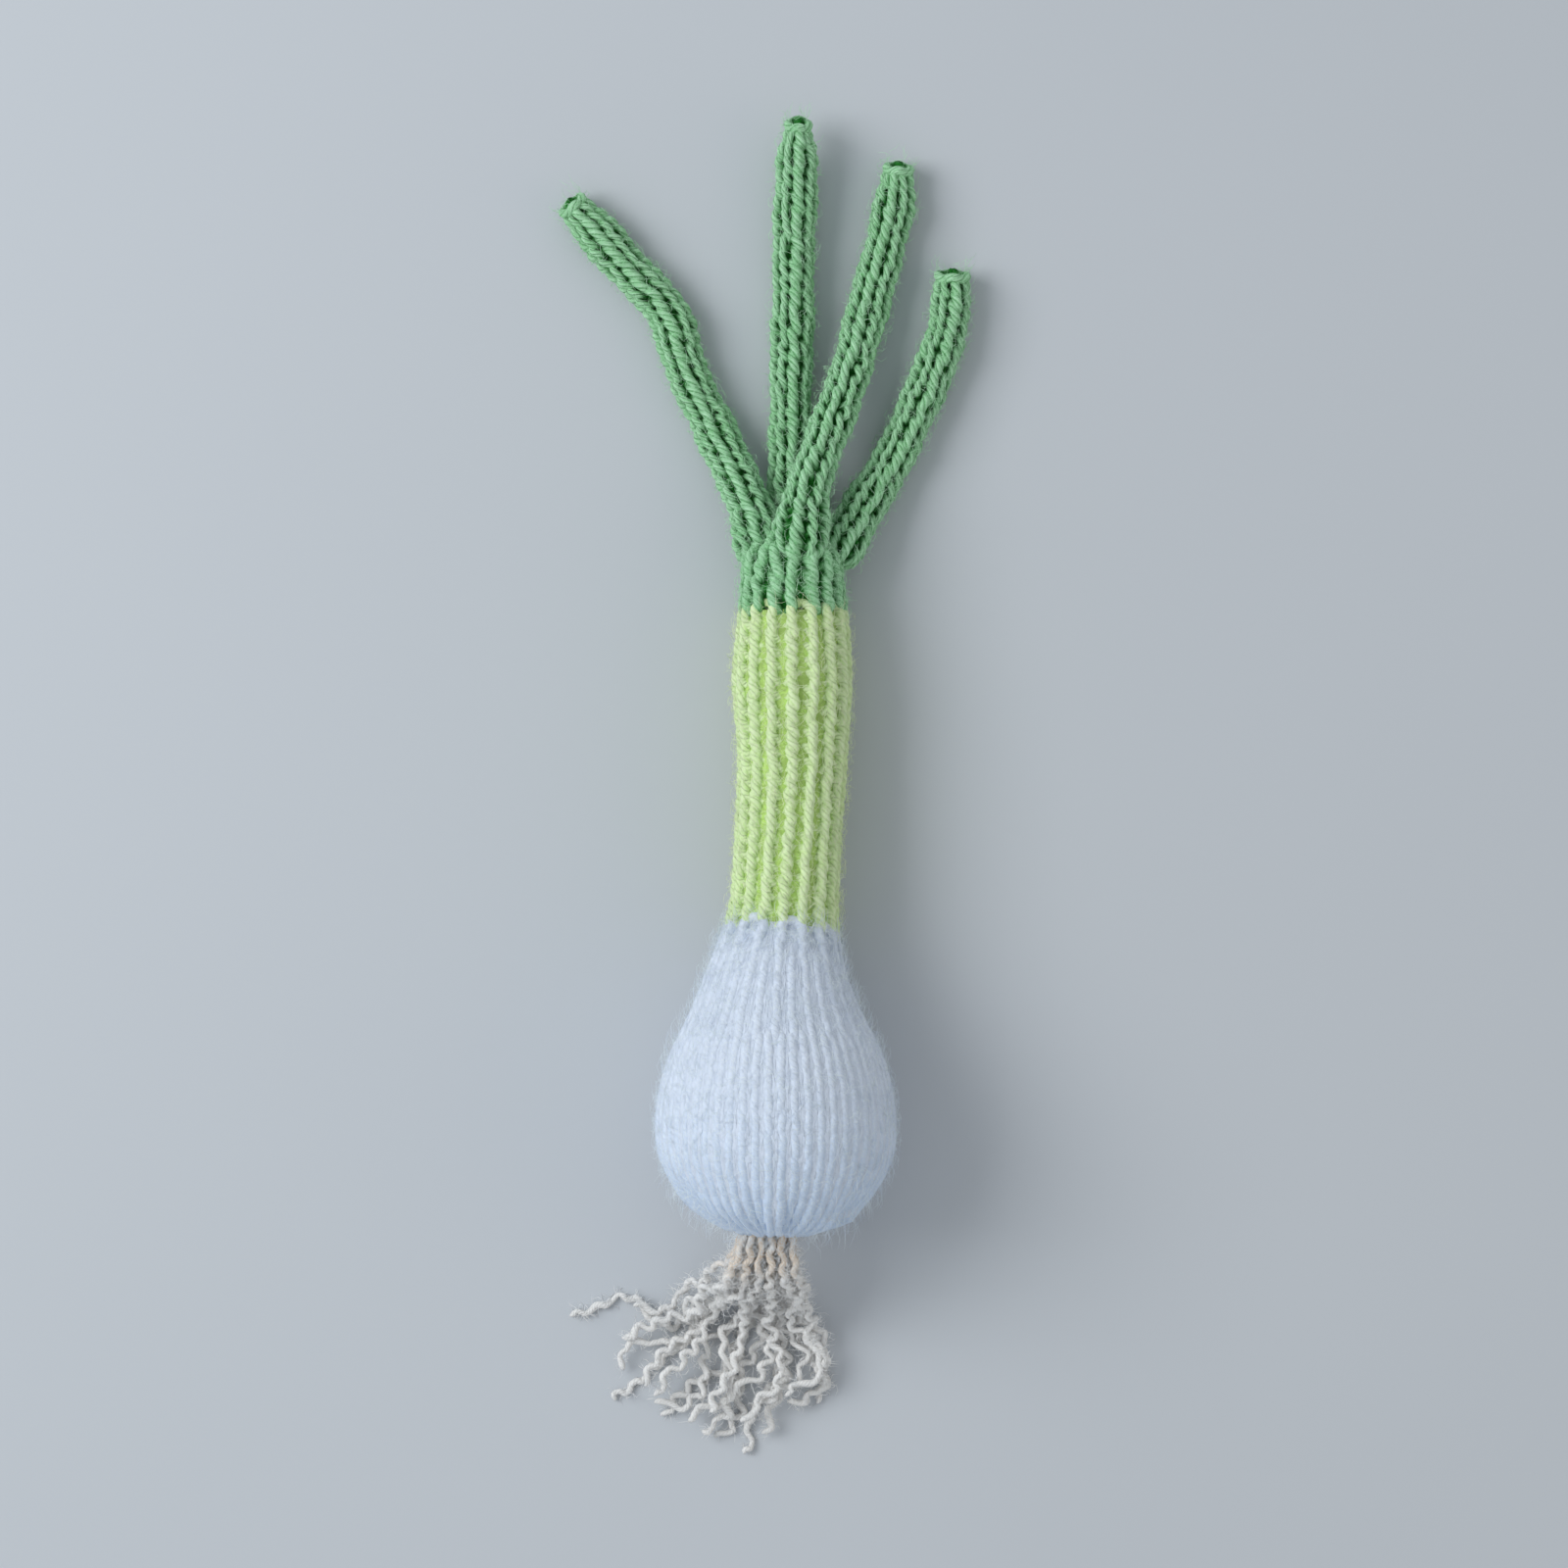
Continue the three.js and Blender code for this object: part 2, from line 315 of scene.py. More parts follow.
def profile_at(profile, distance):
    """The radius at each distance, read smoothly from (distance, radius) rows as the CAD reads them."""
    places, radii = np.array(profile).T
    slopes = np.diff(radii) / np.diff(places)
    ends = np.concatenate([[0.0], (slopes[:-1] + slopes[1:]) / 2, [0.0]])
    held = np.clip(distance, places[0], places[-1])
    k = np.clip(np.searchsorted(places, held) - 1, 0, len(slopes) - 1)
    run = places[k + 1] - places[k]
    s = (held - places[k]) / run
    value = radii[k] * (2 * s**3 - 3 * s**2 + 1) + run * ends[k] * (s**3 - 2 * s**2 + s)
    return value + radii[k + 1] * (3 * s**2 - 2 * s**3) + run * ends[k + 1] * (s**3 - s**2)


def ripple(rng, around, waves):
    """Random unevenness that joins up with itself after a full turn, about 1 high."""
    total = np.zeros_like(around)
    for wave in range(1, waves + 1):
        total += rng.normal() * np.cos(wave * around + rng.uniform(0, FULL_TURN))
    return total / math.sqrt(waves / 2)


class YarnMesh:
    """Collects strands of yarn and linings, and makes them one mesh with its maps."""

    def __init__(self, ply_spacing):
        self.ply_spacing = ply_spacing
        self.points = []
        self.quads = []
        self.yarn_corners = []
        self.bake_corners = []
        self.finishes = []
        self.heights = []
        self.strands = []
        self.count = 0

    def strand_count(self):
        """How many strands there are, without the linings."""
        return len([strand for strand in self.strands if strand is not None])

    def add_grid(self, rings, heights, yarn_u, yarn_v, closed, strand=None, finish=0):
        """A tube of rings. A closed one joins its last ring to its first."""
        number, sides = rings.shape[:2]
        index = np.arange(number * sides).reshape(number, sides) + self.count
        ahead = np.roll(index, -1, axis=0) if closed else index[1:]
        near = index if closed else index[:-1]
        beside = np.roll(np.arange(sides), -1)
        quads = np.stack([near, near[:, beside], ahead[:, beside], ahead], -1)
        rows = len(near)
        u = np.broadcast_to(np.stack([yarn_u[:rows], yarn_u[1 : rows + 1]], -1)[:, None], (rows, sides, 2))
        v = np.broadcast_to(np.stack([yarn_v[:-1], yarn_v[1:]], -1)[None], (rows, sides, 2))
        corners = [(0, 0), (0, 1), (1, 1), (1, 0)]
        yarn = np.stack([np.stack([u[..., a], v[..., b]], -1) for a, b in corners], -2)
        share = np.arange(rows + 1) / rows
        part = np.arange(sides + 1) / sides
        low = np.stack([share[:-1], share[1:]], -1)[:, None].repeat(sides, 1)
        side = np.stack([part[:-1], part[1:]], -1)[None].repeat(rows, 0)
        bake = np.stack([np.stack([low[..., a], side[..., b]], -1) for a, b in corners], -2)
        self.points.append(rings.reshape(-1, 3))
        self.heights.append(np.broadcast_to(heights, (number, sides)).ravel())
        self.quads.append(quads.reshape(-1, 4))
        self.yarn_corners.append(yarn.reshape(-1, 2))
        self.bake_corners.append(bake.reshape(-1, 2))
        self.finishes.append(np.full(rows * sides, finish))
        self.strands.append(strand)
        self.count += number * sides

    def add_strand(self, path, outward, radius, sides, closed, lift=0.0, depth=0.0):
        """A round strand of yarn swept along a path. Its seam is on the side away from outward."""
        if closed:
            ahead = np.roll(path, -1, axis=0) - np.roll(path, 1, axis=0)
            joined = np.vstack([path, path[:1]])
        else:
            ahead = np.gradient(path, axis=0)
            joined = path
        heading = unit(ahead)
        side = unit(np.cross(heading, outward))
        over = np.cross(side, heading)
        turn = math.pi + FULL_TURN * np.arange(sides) / sides
        reach = np.broadcast_to(radius, len(path))[:, None, None]
        rings = path[:, None] + reach * side[:, None] * np.sin(turn)[None, :, None]
        rings = rings + reach * over[:, None] * np.cos(turn)[None, :, None]
        # The height is low deep in the fabric and on the strand's side that faces in or down, where the
        # yarn's painted deep shade goes
        stands = np.broadcast_to(lift, len(path))[:, None] + reach[..., 0] * np.cos(turn)
        heights = 0.5 + 0.5 * stands / (depth + reach[..., 0] + 1e-9)
        along = lengths_along(joined) / self.ply_spacing
        around = PLIES * np.arange(sides + 1) / sides
        self.add_grid(rings, heights, along, around, closed, strand=self.strand_count())

    def add_lining(self, rings, across, along):
        """A closed skin behind the loops. Its first and last rings are drawn in to a point."""
        number, sides = rings.shape[:2]
        u = along * np.arange(number + 1) / number
        v = across * np.arange(sides + 1) / sides
        self.add_grid(rings, 0.0, u, v, closed=False, finish=1)

    def build(self, name):
        """The mesh, with the yarns' strips stacked in the bake map and the lining above them."""
        mesh = bpy.data.meshes.new(name)
        points = np.vstack(self.points)
        quads = np.vstack(self.quads)
        mesh.vertices.add(len(points))
        mesh.vertices.foreach_set("co", points.astype(np.float32).ravel())
        mesh.loops.add(quads.size)
        mesh.loops.foreach_set("vertex_index", quads.astype(np.int32).ravel())
        mesh.polygons.add(len(quads))
        mesh.polygons.foreach_set("loop_start", np.arange(0, quads.size, 4, dtype=np.int32))
        mesh.polygons.foreach_set("material_index", np.concatenate(self.finishes).astype(np.int32))
        mesh.polygons.foreach_set("use_smooth", np.ones(len(quads), dtype=bool))
        mesh.update(calc_edges=True)
        strips = self.strand_count()
        top = 1 - LINING_SHARE if None in self.strands else 1.0
        placed = []
        for strand, corners in zip(self.strands, self.bake_corners):
            low, high = (top + 0.01, 0.995) if strand is None else (strand, strand + 1)
            if strand is not None:
                low, high = ((low + 0.04) * top / strips, (high - 0.04) * top / strips)
            flat = corners.copy()
            flat[:, 0] = 0.005 + 0.99 * corners[:, 0]
            flat[:, 1] = low + (high - low) * corners[:, 1]
            placed.append(flat)
        for map_name, corners in ((YARN_MAP, self.yarn_corners), (BAKE_MAP, placed)):
            layer = mesh.uv_layers.new(name=map_name)
            layer.uv.foreach_set("vector", np.vstack(corners).astype(np.float32).ravel())
        heights = mesh.attributes.new(HEIGHT_MAP, "FLOAT", "POINT")
        heights.data.foreach_set("value", np.concatenate(self.heights).astype(np.float32))
        weld(mesh)
        return mesh


def fibre_mesh(name, starts, outward, rng, reach, rise, thickness):
    """Fine stray fibres that arch out of the knitting and back, or end free, one at each start."""
    count = len(starts)
    ends = rng.normal(size=(count, 3))
    along = unit(ends - outward * np.sum(ends * outward, -1, keepdims=True))
    beside = np.cross(outward, along)
    long = reach * rng.uniform(0.5, 1.5, (count, 1, 1))
    high = rise * rng.uniform(0.2, 1.6, (count, 1, 1)) ** 1.5
    u = np.linspace(0, 1, FIBRE_STATIONS)[None, :, None]
    free = (rng.random((count, 1, 1)) < FREE_SHARE).astype(float)
    arch = free * u**1.4 + (1 - free) * np.sin(math.pi * u)
    curl = rng.normal(size=(count, 1, 1)) * np.sin(FULL_TURN * u + rng.uniform(0, FULL_TURN, (count, 1, 1)))
    path = starts[:, None] + along[:, None] * long * u + outward[:, None] * (high * arch - thickness)
    path = path + beside[:, None] * curl * long * FIBRE_CURL
    path[..., 2] = np.maximum(path[..., 2], thickness)
    thin = thickness * np.sin(math.pi * np.clip(u, 0.03, 0.97)) ** 0.5 / 2
    turn = FULL_TURN * np.arange(3) / 3
    rings = path[:, :, None] + thin[:, :, None] * (
        beside[:, None, None] * np.cos(turn)[None, None, :, None]
        + outward[:, None, None] * np.sin(turn)[None, None, :, None]
    )
    index = np.arange(rings[..., 0].size).reshape(rings.shape[:3])
    near, ahead = index[:, :-1], index[:, 1:]
    sides = np.stack([near, np.roll(near, -1, 2), np.roll(ahead, -1, 2), ahead], -1).reshape(-1, 4)
    tips = np.concatenate([index[:, 0, ::-1], index[:, -1]])
    corners = np.concatenate([sides.ravel(), tips.ravel()]).astype(np.int32)
    first = np.concatenate([4 * np.arange(len(sides)), 4 * len(sides) + 3 * np.arange(len(tips))])
    mesh = bpy.data.meshes.new(name)
    mesh.vertices.add(index.size)
    mesh.vertices.foreach_set("co", rings.astype(np.float32).ravel())
    mesh.loops.add(len(corners))
    mesh.loops.foreach_set("vertex_index", corners)
    mesh.polygons.add(len(first))
    mesh.polygons.foreach_set("loop_start", first.astype(np.int32))
    mesh.update(calc_edges=True)
    return mesh


def weld(mesh):
    """Joins the points that meet at a tip or a drawn-in end."""
    work = bmesh.new()
    work.from_mesh(mesh)
    bmesh.ops.remove_doubles(work, verts=work.verts, dist=1e-7)
    work.to_mesh(mesh)
    work.free()


def add_piece(name, mesh, materials, slot, *nodes):
    """Shows a mesh as a piece of the toy, in place of the CAD nodes that it stands for."""
    piece = bpy.data.objects.new(name, mesh)
    bpy.context.collection.objects.link(piece)
    for material in materials:
        mesh.materials.append(material)
    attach(piece, "root")
    if nodes:
        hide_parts(*nodes)
    return piece


def knit_row(mesh, line, radius_at, middle, stitches, first_turn, style, rng):
    """One row of loops round a tube. Their feet and heads lie deep, and their legs stand out. The style
    says how they are drawn. samples and sides are the points along a loop and round its yarn. swing is
    how far the left and right legs lean, in stitches. reach is how far a loop goes up and down from the
    row's middle, depth how far in and out, and a higher crown keeps its legs out for longer. yarn is the
    yarn's radius, uneven how much the stitches differ, slant how far the row leans back, and slim how
    much thinner the left legs are."""
    samples = style["samples"]
    t = FULL_TURN * np.arange(stitches * samples) / samples
    around = t / stitches
    left, right = style["swing"]
    swing = np.where(np.sin(t) > 0, left, right) * (1 + 0.1 * ripple(rng, around, stitches))
    reach = style["reach"] * (1 + style["uneven"] * ripple(rng, around, stitches))
    sway = 0.5 * style["uneven"] * ripple(rng, around, 2 * stitches)
    across = t / FULL_TURN + swing * np.sin(2 * t) + sway
    drift = 0.5 * style["uneven"] * style["reach"] * ripple(rng, around, stitches)
    distance = middle - reach * np.cos(t) + drift
    depth = style["depth"]
    lift = depth * (1 - 2 * np.abs(np.cos(t)) ** style["crown"])
    turn = first_turn + FULL_TURN * across / stitches
    distance = distance - style.get("slant", 0.0) * np.cos(turn)
    radius = radius_at(distance, turn) - depth - style["yarn"] + lift
    path, outward = line.lay(distance, turn, radius)
    path[:, 2] = np.maximum(path[:, 2], style["yarn"] + depth - lift)
    drawn = style["yarn"] * (1 - style.get("slim", 0.0) * np.maximum(np.sin(t), 0) ** 2)
    mesh.add_strand(path, outward, drawn, style["sides"], closed=True, lift=lift, depth=depth)


def add_lining(mesh, line, radius_at, first, last, depth, sides, dip=0.0):
    """The skin of fluff behind the loops, drawn in to a point at both ends. In a leaf it is a sheet painted
    in shade. It can dip near its last one.
    """
    rings = max(int((last - first) / LINING_SPACING), 6)
    distance = np.concatenate([[first], np.linspace(first, last, rings), [last]])
    turn = FULL_TURN * np.arange(sides) / sides + math.pi
    places, turns = np.meshgrid(distance, turn, indexing="ij")
    radius = radius_at(places, turns) - depth - dip * ease(places, last - 0.006, last - 0.001)
    radius = np.maximum(radius, 0.0002)
    radius[0] = 0.0
    radius[-1] = 0.0
    points, _ = line.lay(places, turns, radius)
    points[..., 2] = np.maximum(points[..., 2], depth - 0.0001)
    mesh.add_lining(points, across=50, along=(last - first) / 0.0011)


def add_fibres(name, surface, count, rng, reach, rise, material, slot):
    """Stray fibres all over a stretch of a tube, which the surface gives as (line, radius_at, span)."""
    line, radius_at, span = surface
    distance = rng.uniform(*span, count)
    turn = rng.uniform(0, FULL_TURN, count)
    starts, outward = line.lay(distance, turn, radius_at(distance, turn) - FIBRE_INSET)
    starts[:, 2] = np.maximum(starts[:, 2], 0.0002)
    mesh = fibre_mesh(name, starts, outward, rng, reach, rise, FIBRE_THICKNESS)
    return add_piece(name, mesh, [material], slot)


# Materials


def new_material(name):
    """A material with its node tree and its surface."""
    material = bpy.data.materials.new(name)
    material.use_nodes = True
    tree = material.node_tree
    return material, tree, tree.nodes["Principled BSDF"]


def set_finish(surface, values):
    """Sets the surface's own values, which are the same all over it."""
    for key, value in values.items():
        surface.inputs[key].default_value = value


def linked(tree, kind, inputs=(), **settings):
    """A new node with its settings made and its inputs set or linked."""
    node = tree.nodes.new(kind)
    for key, value in settings.items():
        setattr(node, key, value)
    for key, value in inputs:
        if isinstance(value, bpy.types.NodeSocket):
            tree.links.new(value, node.inputs[key])
        else:
            node.inputs[key].default_value = value
    return node


def reckon(tree, operation, first, second=0.0):
    """A Math node's result."""
    return linked(tree, "ShaderNodeMath", [(0, first), (1, second)], operation=operation).outputs[0]


def multiply(tree, first, second):
    """One value times another."""
    return reckon(tree, "MULTIPLY", first, second)


def one_less(tree, value):
    """1 less a value."""
    return reckon(tree, "SUBTRACT", 1.0, value)


def blend(tree, factor, first, second):
    """A mixed colour."""
    inputs = [(0, factor), (6, first), (7, second)]
    return linked(tree, "ShaderNodeMix", inputs, data_type="RGBA", blend_type="MIX").outputs[2]


def ramp(tree, value, low, high):
    """0 below low, 1 above high."""
    inputs = [("Value", value), ("From Min", low), ("From Max", high)]
    return linked(tree, "ShaderNodeMapRange", inputs, interpolation_type="SMOOTHSTEP").outputs[0]


def noise(tree, place, scale, detail=2.0, roughness=0.5, distortion=0.0, dimensions="3D"):
    """A Noise Texture's value."""
    inputs = [
        ("Vector", place),
        ("Scale", scale),
        ("Detail", detail),
        ("Roughness", roughness),
        ("Distortion", distortion),
    ]
    return linked(tree, "ShaderNodeTexNoise", inputs, noise_dimensions=dimensions).outputs[0]


def bump(tree, height, distance, strength=1.0, under=None):
    """A Bump node's normal. It can lie on top of another one."""
    inputs = [("Strength", strength), ("Distance", distance), ("Height", height)]
    if under is not None:
        inputs.append(("Normal", under))
    return linked(tree, "ShaderNodeBump", inputs).outputs[0]


def strand_place(tree):
    """How far along the yarn and how far round it a point is, in plies."""
    strand = linked(tree, "ShaderNodeUVMap", uv_map=YARN_MAP)
    split = linked(tree, "ShaderNodeSeparateXYZ", [(0, strand.outputs[0])])
    return split.outputs[0], split.outputs[1]


def object_place(tree):
    """The point's own place on the toy."""
    return linked(tree, "ShaderNodeTexCoord").outputs["Object"]


def stretched(tree, first, first_scale, second, second_scale):
    """A flat place for a texture, from two values each with its own scale."""
    inputs = [(0, multiply(tree, first, first_scale)), (1, multiply(tree, second, second_scale))]
    return linked(tree, "ShaderNodeCombineXYZ", inputs).outputs[0]


def yarn_material(name, light, dark, deep_shade, relief, depth, warm=None, cool_shade=None):
    """Plied yarn: ridges that wind round the strand, fine fibres along them and grooves between. The ridges
    are painted lighter as lit and the grooves darker as shaded. Where the strand lies deep in the fabric,
    or on its side that faces in or down, it takes the painted deep shade. It can take a painted warm shade
    near the strand's start, in patches, and a painted cool shade near the bulb's base."""
    material, tree, surface = new_material(name)
    light, dark, deep_shade = (*light, 1.0), (*dark, 1.0), (*deep_shade, 1.0)
    paler = (*(min(1.0, 1.15 * c + 0.04) for c in light[:3]), 1.0)
    along, around = strand_place(tree)
    ply = reckon(tree, "ADD", along, around)
    centred = reckon(tree, "SUBTRACT", multiply(tree, reckon(tree, "FRACT", ply), 2.0), 1.0)
    ridge = reckon(tree, "SQRT", reckon(tree, "SUBTRACT", 1.001, multiply(tree, centred, centred)))
    drawn = stretched(tree, ply, 4.0, around, 0.55)
    fibre = noise(tree, drawn, 1.0, detail=3.0, roughness=0.65, dimensions="2D")
    place = object_place(tree)
    patches = noise(tree, place, 260.0, detail=3.0)
    lint = noise(tree, place, 2600.0)

    # Painted light and shade: the ply ridges are painted lighter as if lit and the grooves between them
    # darker as if shaded. The fibre streaks and the patches vary the yarn's own tone
    lit_ridges = multiply(tree, ramp(tree, ridge, 0.15, 0.85), 0.45)
    streaks = multiply(tree, ramp(tree, fibre, 0.36, 0.62), 0.55)
    worn = multiply(tree, ramp(tree, patches, 0.42, 0.68), 0.35)
    shown = multiply(tree, reckon(tree, "ADD", lit_ridges, streaks), one_less(tree, worn))
    colour = blend(tree, shown, dark, light)
    # A painted warm shade in patches near the strand's start
    if warm:
        near = one_less(tree, ramp(tree, along, 3.0, 26.0))
        near = multiply(tree, near, ramp(tree, patches, 0.3, 0.55))
        colour = blend(tree, near, colour, (*warm, 1.0))
    # A painted cool shade towards the low end of the toy in y, the bulb's base
    if cool_shade:
        where = linked(tree, "ShaderNodeSeparateXYZ", [(0, place)])
        near = one_less(tree, ramp(tree, where.outputs[1], -0.018, 0.014))
        colour = blend(tree, near, colour, (*cool_shade, 1.0))
    stray = multiply(tree, ramp(tree, lint, 0.5, 0.68), 0.4)
    colour = blend(tree, stray, colour, paler)
    # The painted deep shade where the strand lies deep in the fabric or faces in or down; depth gives the
    # heights over which it gives way to the yarn's colour
    height = linked(tree, "ShaderNodeAttribute", attribute_name=HEIGHT_MAP)
    mottled = multiply(tree, reckon(tree, "SUBTRACT", patches, 0.5), 0.5)
    raised = ramp(tree, reckon(tree, "ADD", height.outputs["Fac"], mottled), *depth)
    tree.links.new(blend(tree, raised, deep_shade, colour), surface.inputs["Base Color"])

    fuzz = reckon(tree, "ADD", multiply(tree, lint, 0.8), fibre)
    plied = bump(tree, ridge, 0.00022 * relief)
    tree.links.new(bump(tree, fuzz, 0.00012, under=plied), surface.inputs["Normal"])
    set_finish(
        surface,
        {
            "Roughness": 0.92,
            "Specular IOR Level": 0.15,
            "Sheen Weight": 0.25,
            "Sheen Roughness": 0.5,
            "Sheen Tint": light,
        },
    )
    return material


def fluff_material(name, light, dark, combed=0.0):
    """Loose fibre: tangled fine streaks with soft hollows painted darker as shade. Combed fluff has streaks
    along the piece too.
    """
    material, tree, surface = new_material(name)
    place = object_place(tree)
    tangle = noise(tree, place, 900.0, detail=4.0, distortion=2.5)
    shaded_hollows = noise(tree, place, 220.0)
    mixed = multiply(tree, tangle, shaded_hollows)
    colour = blend(tree, ramp(tree, mixed, 0.12, 0.4), (*dark, 1.0), (*light, 1.0))
    tree.links.new(colour, surface.inputs["Base Color"])
    relief = bump(tree, tangle, 0.0002, strength=0.9)
    if combed:
        along, around = strand_place(tree)
        drawn = stretched(tree, along, 0.12, around, 1.0)
        streaks = noise(tree, drawn, 4.0, detail=3.0, distortion=0.6, dimensions="2D")
        relief = bump(tree, streaks, combed, under=relief)
    tree.links.new(relief, surface.inputs["Normal"])
    set_finish(surface, {"Roughness": 0.95, "Specular IOR Level": 0.1, "Sheen Weight": 0.2})
    return material


def fibre_material(name, colour):
    """Single fibres, which catch the light along their edges."""
    material, tree, surface = new_material(name)
    paler = (*(min(1.0, 1.1 * c + 0.05) for c in colour), 1.0)
    tone = noise(tree, object_place(tree), 400.0)
    shown = blend(tree, ramp(tree, tone, 0.35, 0.65), (*colour, 1.0), paler)
    tree.links.new(shown, surface.inputs["Base Color"])
    set_finish(
        surface,
        {
            "Roughness": 0.8,
            "Specular IOR Level": 0.2,
            "Sheen Weight": 0.8,
            "Sheen Roughness": 0.6,
            "Sheen Tint": paler,
        },
    )
    return material


def floor_material(colour):
    """A pale matt surface with the faintest mottling."""
    material, tree, surface = new_material("Pale matt floor")
    soft = tuple(0.97 * c for c in colour)
    cloud = noise(tree, object_place(tree), 6.0)
    tree.links.new(blend(tree, cloud, (*soft, 1.0), (*colour, 1.0)), surface.inputs["Base Color"])
    set_finish(surface, {"Roughness": 0.75, "Specular IOR Level": 0.2})
    return material


# Settings


class SpringOnionYarn(bpy.types.PropertyGroup):
    thickness: FloatProperty(
        name="Thickness",
        description="Diameter of the knitting yarn",
        default=0.0019,
        min=0.001,
        max=0.003,
        subtype="DISTANCE",
        unit="LENGTH",
    )
    ply_spacing: FloatProperty(
        name="Ply spacing",
        description="Distance along the yarn from one ply's ridge to the next",
        default=0.00125,
        min=0.0006,
        max=0.003,
        subtype="DISTANCE",
        unit="LENGTH",
    )
    white: FloatVectorProperty(
        name="White",
        description="Colour of the bulb's yarn",
        default=(0.79, 0.855, 0.97),
        min=0.0,
        max=1.0,
        subtype="COLOR",
    )
    lime: FloatVectorProperty(
        name="Lime",
        description="Colour of the stem's yarn",
        default=(0.83, 0.97, 0.60),
        min=0.0,
        max=1.0,
        subtype="COLOR",
    )
    green: FloatVectorProperty(
        name="Green",
        description="Colour of the collar's and leaves' yarn",
        default=(0.53, 0.85, 0.55),
        min=0.0,
        max=1.0,
        subtype="COLOR",
    )
    cream: FloatVectorProperty(
        name="Cream",
        description="Colour of the roots' yarn",
        default=(1.0, 0.98, 0.95),
        min=0.0,
        max=1.0,
        subtype="COLOR",
    )


class SpringOnionKnit(bpy.types.PropertyGroup):
    stem_row: FloatProperty(
        name="Stem row",
        description="Height of a row of the stem",
        default=0.00271,
        min=0.002,
        max=0.005,
        subtype="DISTANCE",
        unit="LENGTH",
    )
    bulb_row: FloatProperty(
        name="Bulb row",
        description="Height of a row of the bulb at its widest",
        default=0.0036,
        min=0.002,
        max=0.005,
        subtype="DISTANCE",
        unit="LENGTH",
    )
    leaf_row: FloatProperty(
        name="Leaf row",
        description="Height of a row of a leaf",
        default=0.0026,
        min=0.002,
        max=0.005,
        subtype="DISTANCE",
        unit="LENGTH",
    )
    stem_stitches: IntProperty(
        name="Stem stitches",
        description="Stitches round the stem",
        default=8,
        min=6,
        max=24,
    )
    bulb_stitches: IntProperty(
        name="Bulb stitches",
        description="Stitches round the bulb at its widest",
        default=28,
        min=12,
        max=48,
    )
    leaf_stitches: IntProperty(
        name="Leaf stitches",
        description="Stitches round a leaf",
        default=4,
        min=3,
        max=10,
    )


class SpringOnionRoots(bpy.types.PropertyGroup):
    crimp_height: FloatProperty(
        name="Crimp height",
        description="How far a loose root strays to each side of its mean line",
        default=0.00068,
        min=0.0,
        max=0.002,
        subtype="DISTANCE",
        unit="LENGTH",
    )
    crimp_length: FloatProperty(
        name="Crimp length",
        description="Distance along a root from one crimp to the next",
        default=0.0040,
        min=0.002,
        max=0.01,
        subtype="DISTANCE",
        unit="LENGTH",
    )


class SpringOnionStage(bpy.types.PropertyGroup):
    floor: FloatVectorProperty(
        name="Floor",
        description="Colour of the floor",
        default=(0.62, 0.645, 0.675),
        min=0.0,
        max=1.0,
        subtype="COLOR",
    )
    key_power: FloatProperty(
        name="Window power",
        description="Power of the large soft light on the left",
        default=7.5,
        min=0.0,
        max=100.0,
        unit="POWER",
    )
    fill_power: FloatProperty(
        name="Wall power",
        description="Power of the faint warm light from the right",
        default=0.35,
        min=0.0,
        max=10.0,
        unit="POWER",
    )
    room_light: FloatProperty(
        name="Room light",
        description="Strength of the even light from all round",
        default=0.47,
        min=0.0,
        max=2.0,
    )


# Pieces


def add_area_light(name, place, size, power, colour, aim):
    """A square soft light that faces a point."""
    bpy.ops.object.light_add(type="AREA", location=place)
    light = bpy.context.object
    light.name = name
    light.data.shape = "SQUARE"
    light.data.size = size
    light.data.energy = power
    light.data.color = colour
    light.rotation_euler = (aim - light.location).to_track_quat("-Z", "Y").to_euler()


class SPRINGONION_OT_stage(bpy.types.Operator):
    """Add the floor, the lights and the camera that looks straight down."""

    bl_idname = "spring_onion.stage"
    bl_label = "Stage"

    def execute(self, context):
        settings = context.scene.spring_onion_stage
        low, high = CAD_BOX
        middle = Vector((0, (low.y + high.y) / 2, 0))
        bpy.ops.object.select_all(action="DESELECT")
        bpy.ops.mesh.primitive_plane_add(size=3.0, location=middle)
        floor = context.object
        floor.name = "floor"
        bpy.ops.object.transform_apply(location=True, rotation=True, scale=True)
        floor.data.materials.append(floor_material(settings.floor))

        window = middle + Vector((-0.80, 0.22, 0.78))
        add_area_light("window_light", window, 0.7, settings.key_power, (0.95, 0.98, 1.0), middle)
        wall = middle + Vector((0.62, -0.1, 0.32))
        add_area_light("warm_wall_light", wall, 0.5, settings.fill_power, (1.0, 0.84, 0.62), middle)

        world = bpy.data.worlds.new("Room light")
        world.use_nodes = True
        sky = world.node_tree.nodes["Background"]
        sky.inputs["Color"].default_value = (0.86, 0.93, 1.0, 1.0)
        sky.inputs["Strength"].default_value = settings.room_light
        context.scene.world = world
        context.scene.view_settings.view_transform = "Standard"

        bpy.ops.object.camera_add(location=(CAMERA_X, CAMERA_Y, CAMERA_HEIGHT), rotation=(0, 0, 0))
        camera = context.object
        camera.name = "camera"
        camera.data.sensor_width = 36.0
        camera.data.lens = camera.data.sensor_width * CAMERA_HEIGHT / VIEW_WIDTH
        camera.data.clip_end = 10.0
        context.scene.camera = camera
        return {"FINISHED"}


